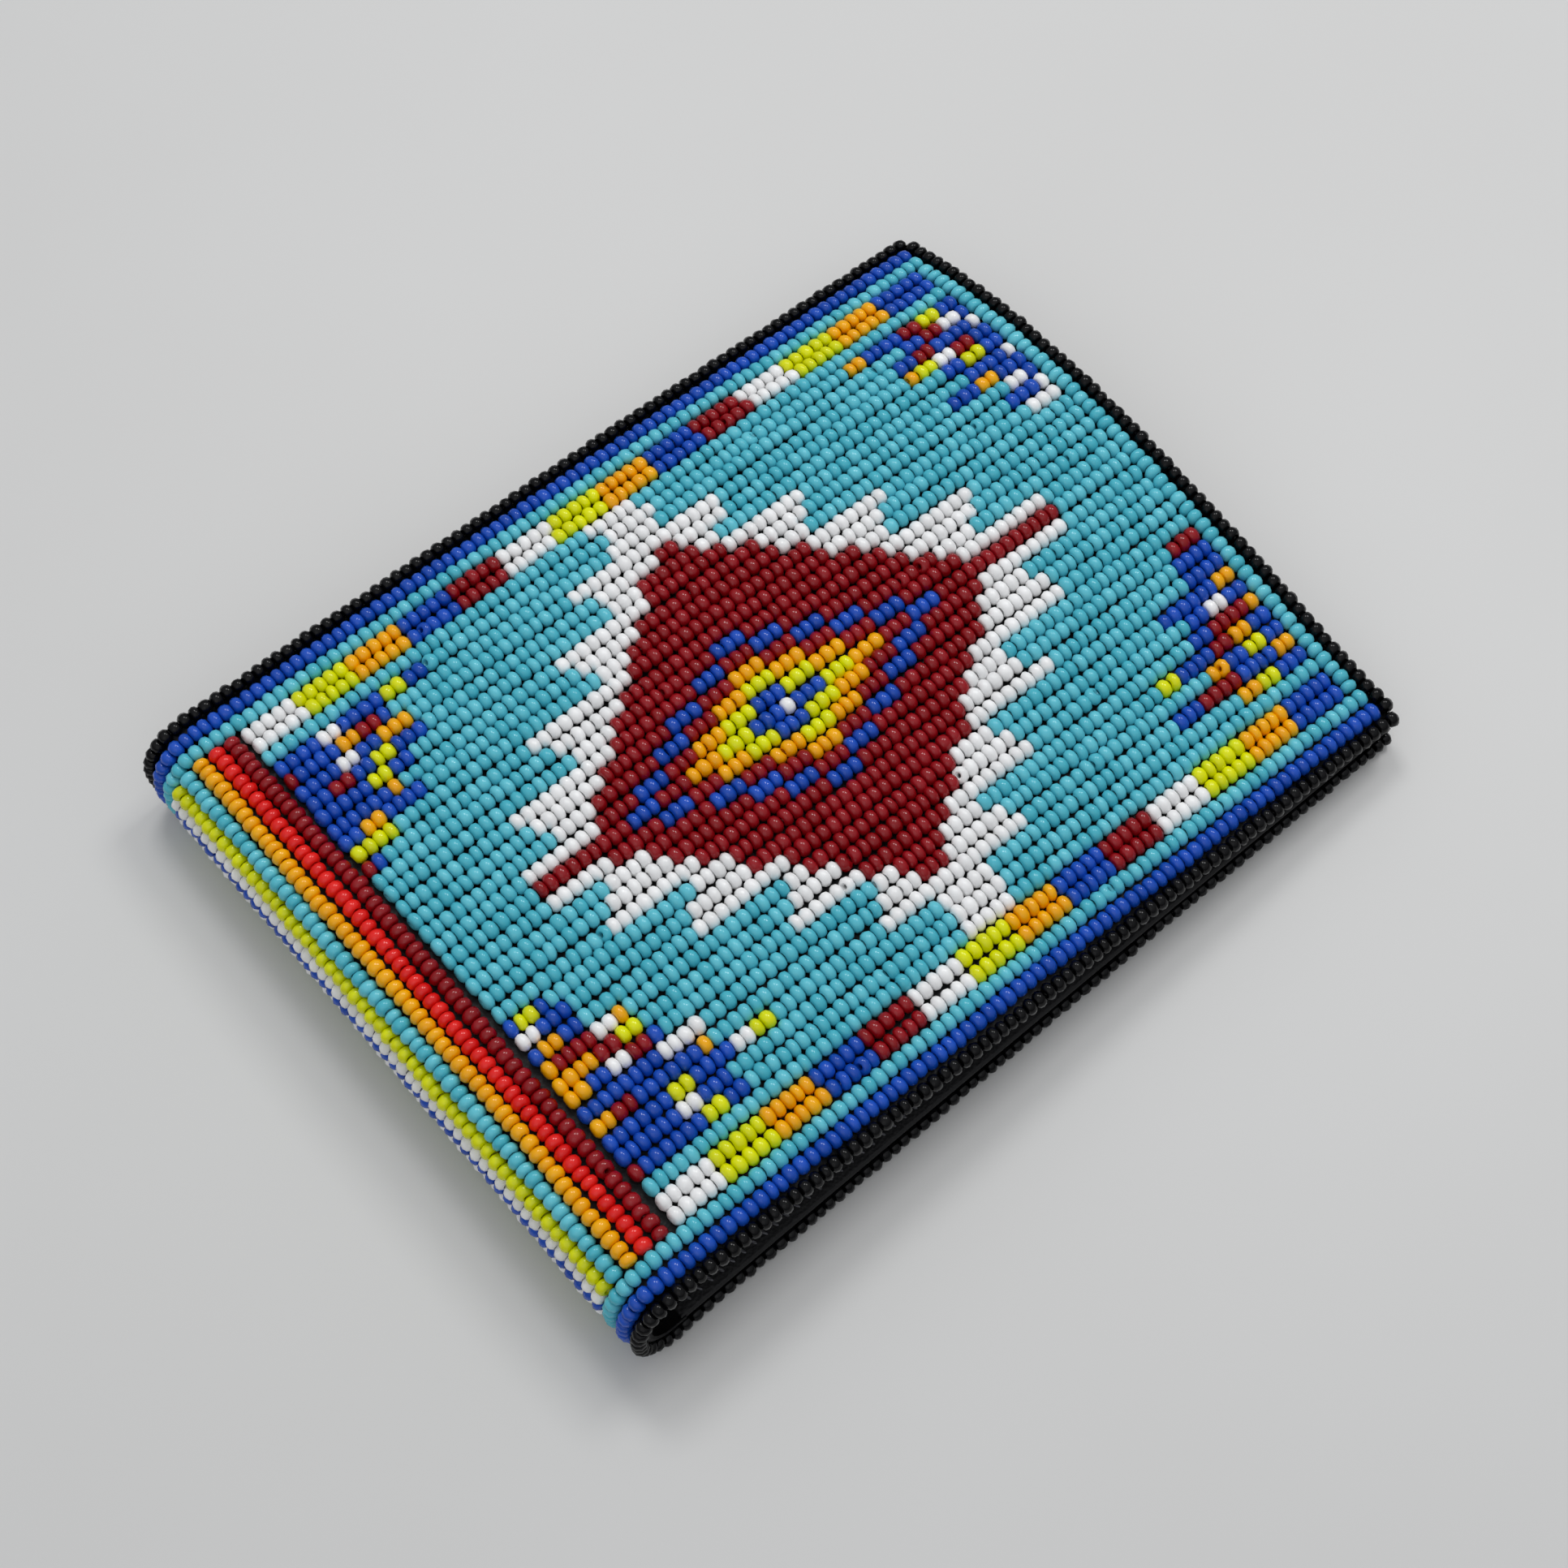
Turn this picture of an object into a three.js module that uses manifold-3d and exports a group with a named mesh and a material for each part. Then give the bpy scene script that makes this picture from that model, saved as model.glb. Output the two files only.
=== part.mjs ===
// A bifold wallet of thin black leather, sewn all over the outside with rows of glass seed beads.
// It lies closed on its back half. X runs from the fold to the open edge, Y along the fold, Z up, in mm.
import * as THREE from 'three';
import { mergeVertices } from 'three/addons/utils/BufferGeometryUtils.js';
import Module from 'manifold-3d';

// Beads and rows
const BEAD_PITCH = 1.39; // from bead to bead along a row
const ROW_PITCH = 1.98; // from row to row
const BEAD_HEIGHT = 1.9; // top of a bead above the leather
const BEAD_SEAT = 0.3; // thread between the leather and the underside of a bead
const BEADS_IN_ROW = 70; // across the front, from the fold rows to the open edge
const FIELD_ROW = 16; // last row of the field on each side of the middle row
const FRAME_ROW = 19; // turquoise frame row
const OUTER_ROW = 20; // blue outermost row
const BLOCK_ROWS = [FRAME_ROW - 2, FRAME_ROW - 1]; // rows of coloured blocks
const RUN_GAP = 0.06; // from a run's end to where its last bead ends
const ROW_GAP = 0.12; // between rows strung on their own

// Leather
const LEATHER = 0.9; // outer cover
const LINING = 0.5; // lining and card pockets
const LAYER_GAP = 0.3; // air between the layers
const POCKET_MOUTH = -8; // Y of a card pocket's open edge
const INSET = 3.2; // lining edges behind the cover's edge
const POCKET_INSET = 2; // card pocket's edge behind the lining's edge at the fold
const POCKET_MARGIN = 1; // and at the open edge

// Edging
const EDGING_WIDTH = 1.9; // bead rope along the raw edge of the leather
const EDGING_TOP = 0.6; // above the leather's outer face
const EDGING_BOTTOM = -1.3; // below the leather's outer face
const END_TRIM = 0.94; // the piece across the open edge is a little finer than the long ones

// Fold: three flat strips between the two covers, each turned by the same angle at rest
const FOLD_ANGLE = Math.PI / 4;
const SIDE_ROWS = 2; // bead rows on the lower and on the upper strip
const MIDDLE_ROWS = 3; // bead rows on the middle strip
const COVER_ROWS = 3; // fold rows that lie on each cover
const HINGE_GAP = 0.1; // from a strip's end to the crease

// Front cover: how high the leather's outer face stands over the floor at the open edge
const OPEN_HEIGHT = 11.2; // in the middle
const OPEN_DROP = 4.8; // lower at both corners
const OPEN_TWIST = 1.0; // far corner up, near corner down
const OPEN_WAVE = 2.2; // far half lifted and near half sunk between middle and corner

// Medallion on the front, in beads from its middle column
const RED_START = 20.5; // half width of the red diamond at the middle row
const RED_STEP = 1.62; // narrower with each row
const RED_TIP = 12; // last red row
const SPIKE = 26.5; // half length of the red spike on the middle row
const TOOTH_ROWS = 3; // rows in each white tooth
const TOOTH_FIRST = 8.7; // half width of the outermost tooth
const TOOTH_OUT = 5.2; // each tooth stands further out
const TOOTH_IN = 1.05; // each row of a tooth steps back in
const CAP = 3.5; // half width of the white tips
const RING_STEP = 3; // beads by which a ring moves in with each row
const LAST_RING = 4; // rings are counted from the heart, 0
const RING_LAP = 0.4; // beads by which a ring's rows lie over each other

// Corner patches: beads in each row, from the row nearest the long edge inward
const PATCH_FAR_FOLD = [14, 10, 11, 11, 9, 7, 8, 4, 2];
const PATCH_NEAR_FOLD = [11, 11, 16, 11, 12, 9, 8, 8, 5, 5, 4];
const PATCH_FAR_OPEN = [12, 7, 9, 9, 6, 5, 8, 3, 4, 3];
const PATCH_NEAR_OPEN = [7, 13, 8, 12, 7, 6, 8, 4, 4, 3];
const PATCH_FIRST_ROW = 15;

// Worked out from the above
const HALF_ROWS = (OUTER_ROW + 0.5) * ROW_PITCH;
const HALF_LEATHER = HALF_ROWS - 0.4;
const HALF_FOLD_ROWS = (FRAME_ROW - 0.5) * ROW_PITCH - ROW_GAP;
const FIELD_START = COVER_ROWS * ROW_PITCH + 0.15;
const FIELD_END = FIELD_START + BEADS_IN_ROW * BEAD_PITCH;
const COLUMN_X = FIELD_END + ROW_GAP + ROW_PITCH / 2;
const ROWS_END = COLUMN_X + ROW_PITCH / 2;
const EDGING_OFFSET = 0.15 + EDGING_WIDTH / 2;
const SIDE_STRIP = SIDE_ROWS * ROW_PITCH;
const MIDDLE_STRIP = MIDDLE_ROWS * ROW_PITCH;
const SIDE_RUN = SIDE_STRIP * Math.cos(FOLD_ANGLE);
const SIDE_RISE = SIDE_STRIP * Math.sin(FOLD_ANGLE);
const FOLD_TOP = BEAD_HEIGHT + 2 * SIDE_RISE + MIDDLE_STRIP;
const MITRE = HINGE_GAP + LEATHER * Math.tan(FOLD_ANGLE / 2) + 0.05;
const EDGING_MITRE = -EDGING_BOTTOM * Math.tan(FOLD_ANGLE / 2) + 0.1;
const CENTRE = BEADS_IN_ROW / 2;
const FRONT_STEPS = 28;
const SPAN = ROWS_END + EDGING_OFFSET + (EDGING_WIDTH * END_TRIM) / 2 + SIDE_RUN + BEAD_HEIGHT;
const SHIFT = SIDE_RUN + BEAD_HEIGHT - SPAN / 2;

const wasm = await Module();
wasm.setup();
const group = new THREE.Group();
group.name = 'beaded_wallet';
group.position.x = SHIFT;

// Each half and each strip is drawn flat: x from the crease, y along the fold,
// t out from the leather's outer face.
function onFront(x, y, t) {
  const side = y / HALF_ROWS;
  const wave = OPEN_WAVE * (side - side ** 3);
  const open = OPEN_HEIGHT + OPEN_TWIST * side + wave - OPEN_DROP * side * side;
  const along = x / ROWS_END;
  return [x, y, FOLD_TOP * (1 - along) + open * along + t];
}

function onBack(x, y, t) {
  return [x, -y, BEAD_HEIGHT - t];
}

function onStrip(startX, startZ, angle) {
  const c = Math.cos(angle);
  const s = Math.sin(angle);
  return (x, y, t) => [startX + x * c - t * s, y, startZ + x * s + t * c];
}

const onLower = onStrip(0, BEAD_HEIGHT, Math.PI - FOLD_ANGLE);
const onMiddle = onStrip(-SIDE_RUN, BEAD_HEIGHT + SIDE_RISE, Math.PI / 2);
const onUpper = onStrip(-SIDE_RUN, BEAD_HEIGHT + SIDE_RISE + MIDDLE_STRIP, FOLD_ANGLE);

// Eight-sided section of a bead row: across the row, and out from the leather.
function section(width, bottom, top) {
  const half = width / 2;
  const flat = width * 0.25;
  const cut = (top - bottom) * 0.3;
  const points = [
    [-half, bottom + cut], [-flat, bottom], [flat, bottom], [half, bottom + cut],
    [half, top - cut], [flat, top], [-flat, top], [-half, top - cut],
  ];
  return new THREE.Shape(points.map(([a, t]) => new THREE.Vector2(a, t)));
}

function extrude(shape, depth, steps) {
  return new THREE.ExtrudeGeometry(shape, { depth, steps, bevelEnabled: false });
}

// A bar along x, from x0 to x1.
function alongX(shape, x0, x1, y, steps = 1) {
  const turn = new THREE.Matrix4().set(0, 0, 1, x0, 1, 0, 0, y, 0, 1, 0, 0, 0, 0, 0, 1);
  return extrude(shape, x1 - x0, steps).applyMatrix4(turn);
}

// A bar along y, from y0 to y1.
function alongY(shape, x, y0, y1, steps = 1) {
  const turn = new THREE.Matrix4().set(-1, 0, 0, x, 0, 0, 1, y0, 0, 1, 0, 0, 0, 0, 0, 1);
  return extrude(shape, y1 - y0, steps).applyMatrix4(turn);
}

// A sheet with the given outline in x and t, from y0 to y1.
function sheet(outline, y0, y1, steps = 1) {
  const shape = new THREE.Shape(outline.map(([x, t]) => new THREE.Vector2(x, t)));
  const turn = new THREE.Matrix4().set(1, 0, 0, 0, 0, 0, -1, y1, 0, 1, 0, 0, 0, 0, 0, 1);
  return extrude(shape, y1 - y0, steps).applyMatrix4(turn);
}

// Moves every vertex of a flat geometry to its place on the wallet.
function bend(geometry, place) {
  const position = geometry.getAttribute('position');
  for (let i = 0; i < position.count; i += 1) {
    position.setXYZ(i, ...place(position.getX(i), position.getY(i), position.getZ(i)));
  }
  return geometry;
}

function solidOf(geometry) {
  geometry.deleteAttribute('normal');
  geometry.deleteAttribute('uv');
  const merged = mergeVertices(geometry, 1e-4);
  const vertProperties = merged.getAttribute('position').array;
  const triVerts = new Uint32Array(merged.index.array);
  return new wasm.Manifold(new wasm.Mesh({ numProp: 3, vertProperties, triVerts }));
}

function join(geometries) {
  const mesh = wasm.Manifold.union(geometries.map(solidOf)).getMesh();
  const joined = new THREE.BufferGeometry();
  joined.setAttribute('position', new THREE.BufferAttribute(mesh.vertProperties, 3));
  joined.setIndex(new THREE.BufferAttribute(mesh.triVerts, 1));
  return joined.toNonIndexed();
}

function glass(color) {
  return new THREE.MeshStandardMaterial({ color, roughness: 0.18, metalness: 0 });
}

const TURQUOISE = glass(0x5bb7cb);
const BLUE = glass(0x2450c0);
const WHITE = glass(0xe6e3ea);
const RED = glass(0xe3161b);
const DARK_RED = glass(0x8c1520);
const ORANGE = glass(0xf5a300);
const YELLOW = glass(0xdce600);
const BLACK = glass(0x17181a);
const COVER = new THREE.MeshStandardMaterial({ color: 0x1b1b1d, roughness: 0.55 });
const INNER = new THREE.MeshStandardMaterial({ color: 0x222225, roughness: 0.5 });

function add(name, geometry, material) {
  geometry.computeVertexNormals();
  const mesh = new THREE.Mesh(geometry, material);
  mesh.name = name;
  group.add(mesh);
}

const ROW = section(ROW_PITCH, BEAD_SEAT, BEAD_HEIGHT);
const STRAND = section(ROW_PITCH - ROW_GAP, BEAD_SEAT, BEAD_HEIGHT);
const EDGING = section(EDGING_WIDTH, EDGING_BOTTOM, EDGING_TOP);
const EDGING_END = section(EDGING_WIDTH * END_TRIM, EDGING_BOTTOM + 0.06, EDGING_TOP - 0.06);
const FRAME_END = section((ROW_PITCH - ROW_GAP) * END_TRIM, BEAD_SEAT + 0.06, BEAD_HEIGHT - 0.06);

const rowY = (row) => row * ROW_PITCH;
const columnX = (bead) => FIELD_START + bead * BEAD_PITCH;

// A field of one colour: runs of beads [row, first bead, last bead], joined side by side.
function field(name, runs, material) {
  const bars = runs
    .filter(([, from, to]) => to - from > 0.3)
    .map(([row, from, to]) => alongX(ROW, columnX(from) + RUN_GAP, columnX(to) - RUN_GAP, rowY(row)));
  add(name, bend(join(bars), onFront), material);
}

const rowsBetween = (first, last) => Array.from({ length: last - first + 1 }, (_, i) => first + i);

// Half widths of the medallion's outlines on a row, in beads.
function redHalf(row) {
  const d = Math.abs(row);
  if (d === 0) return SPIKE;
  return d > RED_TIP ? 0 : Math.round(2 * (RED_START - RED_STEP * d)) / 2;
}

function whiteHalf(row) {
  const d = Math.abs(row);
  if (d === 0) return SPIKE;
  if (d > RED_TIP + 1) return CAP;
  const k = RED_TIP + 1 - d;
  const tooth = Math.floor(k / TOOTH_ROWS);
  const half = TOOTH_FIRST + TOOTH_OUT * tooth - TOOTH_IN * (k % TOOTH_ROWS);
  return Math.min(Math.round(2 * half) / 2, SPIKE - 0.5);
}

// Ring 0 is the heart, ring 4 the blue ring next to the red diamond.
function ringHalf(ring, row) {
  const d = Math.abs(row);
  const full = 0.5 + RING_STEP * (ring + 1 - d) + (d > 0 ? 1 : 0);
  const half = full - RING_LAP * (LAST_RING - ring);
  return half < 0.35 ? 0 : half;
}

// Runs of one colour to the left and the right of a hole, or right across where there is none.
function ringRuns(rows, outer, inner) {
  return rows.flatMap((row) => {
    const a = outer(row);
    const b = inner(row);
    if (b === 0) return [[row, CENTRE - a, CENTRE + a]];
    return [[row, CENTRE - a, CENTRE - b], [row, CENTRE + b, CENTRE + a]];
  });
}

const none = () => 0;
const toothRows = rowsBetween(1, FIELD_ROW);
field('medallion_white_far', ringRuns(toothRows, whiteHalf, redHalf), WHITE);
field('medallion_white_near', ringRuns(toothRows.map((d) => -d), whiteHalf, redHalf), WHITE);
field(
  'medallion_red_diamond',
  ringRuns(rowsBetween(-RED_TIP, RED_TIP), redHalf, (row) => ringHalf(4, row)),
  RED,
);
const RINGS = [
  ['medallion_blue_heart', BLUE],
  ['medallion_yellow_ring', YELLOW],
  ['medallion_orange_ring', ORANGE],
  ['medallion_red_ring', RED],
  ['medallion_blue_ring', BLUE],
];
RINGS.forEach(([name, material], ring) => {
  const outer = (row) => ringHalf(ring, row);
  const inner = ring > 0 ? (row) => ringHalf(ring - 1, row) : none;
  field(name, ringRuns(rowsBetween(-ring - 1, ring + 1), outer, inner), material);
});

// Corner patches, and what they leave of the turquoise field on either side of the medallion.
function patch(counts, side, fromFold) {
  return counts.map((count, i) => {
    const row = side * (PATCH_FIRST_ROW - i);
    return fromFold ? [row, 0, count] : [row, BEADS_IN_ROW - count, BEADS_IN_ROW];
  });
}

const farFold = patch(PATCH_FAR_FOLD, 1, true);
const nearFold = patch(PATCH_NEAR_FOLD, -1, true);
const farOpen = patch(PATCH_FAR_OPEN, 1, false);
const nearOpen = patch(PATCH_NEAR_OPEN, -1, false);
field('patch_far_fold', farFold, BLUE);
field('patch_near_fold', nearFold, BLUE);
field('patch_far_open', farOpen, BLUE);
field('patch_near_open', nearOpen, BLUE);
const fieldRows = rowsBetween(-FIELD_ROW, FIELD_ROW);
const widthIn = (runs, row) => runs.filter((run) => run[0] === row).reduce((sum, run) => sum + run[2] - run[1], 0);
field(
  'field_fold_side',
  fieldRows.map((row) => [row, widthIn([...farFold, ...nearFold], row), CENTRE - whiteHalf(row)]),
  TURQUOISE,
);
field(
  'field_open_side',
  fieldRows.map((row) => [row, CENTRE + whiteHalf(row), BEADS_IN_ROW - widthIn([...farOpen, ...nearOpen], row)]),
  TURQUOISE,
);

// Border of the front: two block rows, the turquoise frame and the blue row, and the black edging.
for (const [side, name] of [[1, 'far'], [-1, 'near']]) {
  field(`block_border_${name}`, BLOCK_ROWS.map((row) => [side * row, 0, BEADS_IN_ROW]), WHITE);
  const blue = alongX(STRAND, HINGE_GAP, ROWS_END, rowY(side * OUTER_ROW));
  add(`front_blue_row_${name}`, bend(blue, onFront), BLUE);
}

// A row along both long edges and across the open edge, joined at the corners.
function threeSides(long, end, start, x, y, place, steps) {
  return join([
    bend(alongX(long, start, x, -y), place),
    bend(alongX(long, start, x, y), place),
    bend(alongY(end, x, -y, y, steps), place),
  ]);
}

const frame = threeSides(STRAND, FRAME_END, HINGE_GAP, COLUMN_X, rowY(FRAME_ROW), onFront, FRONT_STEPS);
add('front_turquoise_frame', frame, TURQUOISE);
const edgeX = ROWS_END + EDGING_OFFSET;
const edgeY = HALF_ROWS + EDGING_OFFSET;
const frontEdging = threeSides(EDGING, EDGING_END, EDGING_MITRE, edgeX, edgeY, onFront, FRONT_STEPS);
add('front_edging', frontEdging, BLACK);
const backEdging = threeSides(EDGING, EDGING_END, EDGING_MITRE, edgeX, edgeY, onBack, 1);
add('back_edging', backEdging, BLACK);

// Fold rows that lie on the covers: orange at the crease, then red, then dark red.
[['orange', ORANGE], ['red', RED], ['dark_red', DARK_RED]].forEach(([name, material], i) => {
  for (const [half, place, steps] of [['front', onFront, 4], ['back', onBack, 1]]) {
    const row = alongY(STRAND, (i + 0.5) * ROW_PITCH, -HALF_FOLD_ROWS, HALF_FOLD_ROWS, steps);
    add(`${half}_${name}_row`, bend(row, place), material);
  }
});

// Back of the wallet: turquoise rows all over, the outer ones running on to the fold.
const backRows = rowsBetween(-OUTER_ROW, OUTER_ROW).map((row) => {
  const start = Math.abs(row) < FRAME_ROW ? FIELD_START : HINGE_GAP;
  return alongX(ROW, start, ROWS_END, rowY(row));
});
add('back_bead_field', bend(join(backRows), onBack), TURQUOISE);

// Leather of each half: cover, lining and one card pocket, with the pocket's mouth towards the near edge.
const coverEnd = ROWS_END - 0.1;
const coverOutline = [[MITRE, -LEATHER], [coverEnd, -LEATHER], [coverEnd, 0], [HINGE_GAP, 0]];
const liningTop = -LEATHER - LAYER_GAP;
const pocketTop = liningTop - LINING - LAYER_GAP;
const layer = (top, x0, x1) => [[x0, top - LINING], [x1, top - LINING], [x1, top], [x0, top]];
const innerEnd = coverEnd - INSET;
const innerHalf = HALF_LEATHER - INSET / 2;
for (const [half, place, far, steps] of [['front', onFront, 1, FRONT_STEPS], ['back', onBack, -1, 1]]) {
  const cover = sheet(coverOutline, -HALF_LEATHER, HALF_LEATHER, steps);
  add(`${half}_cover`, bend(cover, place), COVER);
  const lining = sheet(layer(liningTop, INSET, innerEnd), -innerHalf, innerHalf, steps);
  add(`${half}_lining`, bend(lining, place), INNER);
  const mouth = far * POCKET_MOUTH;
  const foot = far * innerHalf;
  const across = [Math.min(mouth, foot), Math.max(mouth, foot)];
  const pocket = sheet(layer(pocketTop, INSET + POCKET_INSET, innerEnd - POCKET_MARGIN), ...across, steps);
  add(`${half}_card_pocket`, bend(pocket, place), INNER);
}

// Fold strips: leather mitred on its inside, rows of beads along it, frame, blue and edging beads at both ends.
function strip(name, length, rows, place) {
  const outline = [[MITRE, -LEATHER], [length - MITRE, -LEATHER], [length - HINGE_GAP, 0], [HINGE_GAP, 0]];
  add(`${name}_leather`, bend(sheet(outline, -HALF_LEATHER, HALF_LEATHER), place), COVER);
  rows.forEach(([row, material], i) => {
    const strand = alongY(STRAND, (i + 0.5) * ROW_PITCH, -HALF_FOLD_ROWS, HALF_FOLD_ROWS);
    add(`${name}_${row}_row`, bend(strand, place), material);
  });
  for (const [side, end] of [[1, 'far'], [-1, 'near']]) {
    const ends = [FRAME_ROW, OUTER_ROW].map((row) => alongX(ROW, HINGE_GAP, length - HINGE_GAP, rowY(side * row)));
    add(`${name}_end_rows_${end}`, bend(join(ends), place), BLUE);
    const edging = alongX(EDGING, EDGING_MITRE, length - EDGING_MITRE, side * edgeY);
    add(`${name}_edging_${end}`, bend(edging, place), BLACK);
  }
}

strip('fold_lower', SIDE_STRIP, [['turquoise', TURQUOISE], ['yellow', YELLOW]], onLower);
strip('fold_middle', MIDDLE_STRIP, [['lower_white', WHITE], ['blue', BLUE], ['upper_white', WHITE]], onMiddle);
strip('fold_upper', SIDE_STRIP, [['yellow', YELLOW], ['turquoise', TURQUOISE]], onUpper);

export default group;
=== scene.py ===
# A beaded leather wallet lying closed on its back half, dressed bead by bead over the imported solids.
# X runs from the fold to the open edge and Y along the fold; lengths on the flat sheets are in millimetres.
import bpy
import numpy as np
from mathutils import Matrix


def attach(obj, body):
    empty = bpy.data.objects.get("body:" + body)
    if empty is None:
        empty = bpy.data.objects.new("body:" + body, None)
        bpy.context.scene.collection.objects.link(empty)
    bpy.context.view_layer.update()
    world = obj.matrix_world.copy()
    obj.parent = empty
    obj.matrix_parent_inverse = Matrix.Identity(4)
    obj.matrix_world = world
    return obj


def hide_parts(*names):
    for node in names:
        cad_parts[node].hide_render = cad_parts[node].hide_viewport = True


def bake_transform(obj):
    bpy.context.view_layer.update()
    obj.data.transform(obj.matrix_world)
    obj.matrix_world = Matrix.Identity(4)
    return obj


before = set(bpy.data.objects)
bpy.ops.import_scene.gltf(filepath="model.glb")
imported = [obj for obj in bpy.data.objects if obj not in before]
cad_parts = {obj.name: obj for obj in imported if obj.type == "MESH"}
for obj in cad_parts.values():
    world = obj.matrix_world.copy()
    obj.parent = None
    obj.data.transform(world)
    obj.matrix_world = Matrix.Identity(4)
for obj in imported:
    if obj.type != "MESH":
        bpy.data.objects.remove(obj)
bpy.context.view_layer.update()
scene = bpy.context.scene

# Camera: above the near end of the fold, looking down across the wallet as in the photograph.
# Three angles turn it, its place is in metres, and its focal length is given in pixels of the whole image.
azimuth, elevation, roll = np.radians([-38.0, 64.37, -2.2])
camera_place = [-0.0826, -0.1069, 0.2786]
focal_pixels, image_pixels = 3373, 1932
sensor_width = 36.0
flat, rising = np.cos(elevation), np.sin(elevation)
backward = np.array([np.sin(azimuth) * flat, -np.cos(azimuth) * flat, rising])
level = np.array([np.cos(azimuth), np.sin(azimuth), 0.0])
upright = np.cross(backward, level)
right = level * np.cos(roll) + upright * np.sin(roll)
up = upright * np.cos(roll) - level * np.sin(roll)
camera = bpy.data.objects.new("camera", bpy.data.cameras.new("camera"))
camera_axes = np.column_stack([right, up, backward, camera_place])
camera.matrix_world = Matrix(np.vstack([camera_axes, [0, 0, 0, 1]]).tolist())
camera.data.sensor_width = sensor_width
camera.data.lens = sensor_width * focal_pixels / image_pixels
camera.data.clip_start = 0.01
camera.data.dof.use_dof = False
scene.collection.objects.link(camera)
scene.camera = camera

# Light: two small soft lamps stand over the far and the open side, and a large weak one over the fold.
# They hang in a pale room that is brightest overhead. Lamp sizes and places are in metres.
for name, size, energy, spot in [
        ("lamp_far", 0.16, 0.75, (0.12, 0.25, 0.52)),
        ("lamp_open", 0.16, 0.75, (0.32, 0.04, 0.50)),
        ("lamp_fold", 0.5, 0.25, (-0.35, -0.25, 0.45))]:
    lamp = bpy.data.objects.new(name, bpy.data.lights.new(name, "AREA"))
    lamp.data.size = size
    lamp.data.energy = energy
    lamp.location = spot
    lamp.rotation_euler = lamp.location.to_track_quat("Z", "Y").to_euler()
    scene.collection.objects.link(lamp)
horizon_light, overhead_light = 0.14, 0.75
room = bpy.data.worlds.new("room")
room.use_nodes = True
nodes, links = room.node_tree.nodes, room.node_tree.links
sky = nodes.new("ShaderNodeTexCoord")
rise = nodes.new("ShaderNodeSeparateXYZ")
links.new(sky.outputs["Generated"], rise.inputs["Vector"])
dome = nodes.new("ShaderNodeMapRange")
dome.inputs["To Min"].default_value = horizon_light
dome.inputs["To Max"].default_value = overhead_light
links.new(rise.outputs["Z"], dome.inputs["Value"])
nodes["Background"].inputs["Color"].default_value = (0.95, 0.97, 1.0, 1.0)
links.new(dome.outputs["Result"], nodes["Background"].inputs["Strength"])
scene.world = room
scene.view_settings.view_transform = "Standard"


# Floor: a plain pale slab under the wallet, with a faint cloud in its colour.
# It only takes the light and the shadow, so it is stage and no part of the wallet.
def paint(code):
    """A colour written as on a paint card, turned into linear light by the sRGB curve."""
    c = np.array([int(code[i:i + 2], 16) for i in (1, 3, 5)]) / 255
    return tuple(np.where(c <= 0.04045, c / 12.92, ((c + 0.055) / 1.055) ** 2.4)) + (1.0,)


def new_material(name):
    """A plain material, with its nodes, links and shader."""
    material = bpy.data.materials.new(name)
    material.use_nodes = True
    nodes, links = material.node_tree.nodes, material.node_tree.links
    return material, nodes, links, nodes["Principled BSDF"]


def texture(nodes, links, kind, scale):
    """A procedural texture that is fixed to the piece, with so many features to the metre."""
    place = nodes.new("ShaderNodeTexCoord")
    pattern = nodes.new(kind)
    pattern.inputs["Scale"].default_value = scale
    links.new(place.outputs["Object"], pattern.inputs["Vector"])
    return pattern


def two_tone(nodes, links, shader, dark, light, factor):
    """Base colour that goes from dark to light as the factor goes from 0 to 1."""
    ramp = nodes.new("ShaderNodeMix")
    ramp.data_type = "RGBA"
    ramp.inputs["A"].default_value = paint(dark)
    ramp.inputs["B"].default_value = paint(light)
    links.new(factor, ramp.inputs["Factor"])
    links.new(ramp.outputs["Result"], shader.inputs["Base Color"])


floor_half, floor_drop = 1.5, -0.0001
stone, nodes, links, shader = new_material("floor_stone")
cloud = texture(nodes, links, "ShaderNodeTexNoise", 9)
cloud.inputs["Detail"].default_value = 5
two_tone(nodes, links, shader, "#cbcac8", "#d3d3d2", cloud.outputs["Fac"])
shader.inputs["Roughness"].default_value = 0.5
floor_corners = [
    (x * floor_half, y * floor_half, floor_drop)
    for x, y in [(-1, -1), (1, -1), (1, 1), (-1, 1)]]
mesh = bpy.data.meshes.new("floor")
mesh.from_pydata(floor_corners, [], [(0, 1, 2, 3)])
mesh.materials.append(stone)
floor = bpy.data.objects.new("floor", mesh)
scene.collection.objects.link(floor)

# Covers: two panels of smooth black leather, 0.9 mm thick. Each carries the beads and edging of its half.
# The front one is crowned over what lies inside, and hand sewing has pulled the fold out of square.
# A place on a panel is x from the crease, y along the fold and t out from the leather's outer face.
row_pitch = 1.98
half_width = 20.5 * row_pitch
panel_length = 105.49
crease_x = 51.391
back_face, front_face = 1.9, 13.44
end_sag = 1.2
fold_inset, fold_skew, near_spread = 0.1, 1.3, 0.9
open_height, open_twist, open_wave, open_drop = 11.2, 1.0, 2.2, 4.8
crown_height, crown_side_loss = 4.4, 0.3
open_bow, bow_lean = 0.45, 1.4
panel_x = (1.9, 106.8)
near_edge, far_edge = 41.5, 42.1
outer_leather = (-0.9, 0.0)
millimetre = 0.001


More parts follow.
